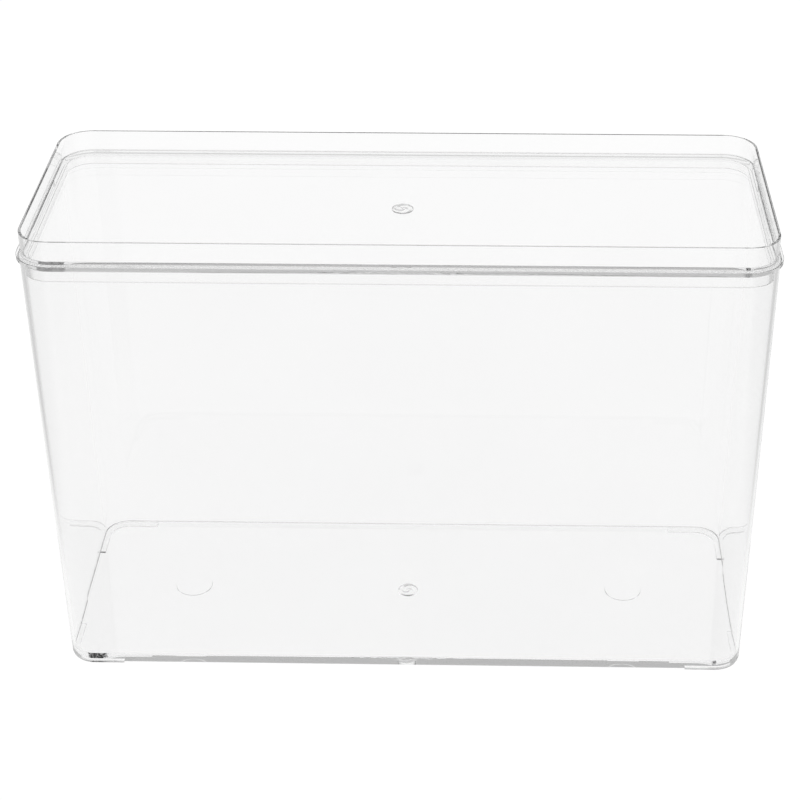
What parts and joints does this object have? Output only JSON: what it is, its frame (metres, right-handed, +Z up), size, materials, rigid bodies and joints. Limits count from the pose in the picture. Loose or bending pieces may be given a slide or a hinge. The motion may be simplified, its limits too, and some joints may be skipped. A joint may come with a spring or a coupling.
{
  "type": "storage box with lid",
  "caption": "Clear plastic storage box with corner feet, and a lift-off lid whose raised rim holds another box on top.",
  "frame": {"origin": "middle of the footprint, on the surface that the feet stand on", "axes": "+X along the length, +Y from the front to the back, +Z up"},
  "size_m": [0.3038, 0.1116, 0.2088],
  "materials": {
    "clear_box": "polished, colourless and see-through",
    "clear_lid": "polished, colourless and see-through"
  },
  "bodies": {
    "box": {"box_body": "clear_box"},
    "lid": {"lid": "clear_lid"}
  },
  "joints": [
    {"name": "lid_lift", "type": "slide", "parent": "box", "child": "lid", "axis": [0, 0, 1], "range_m": [0, 0.08]}
  ]
}
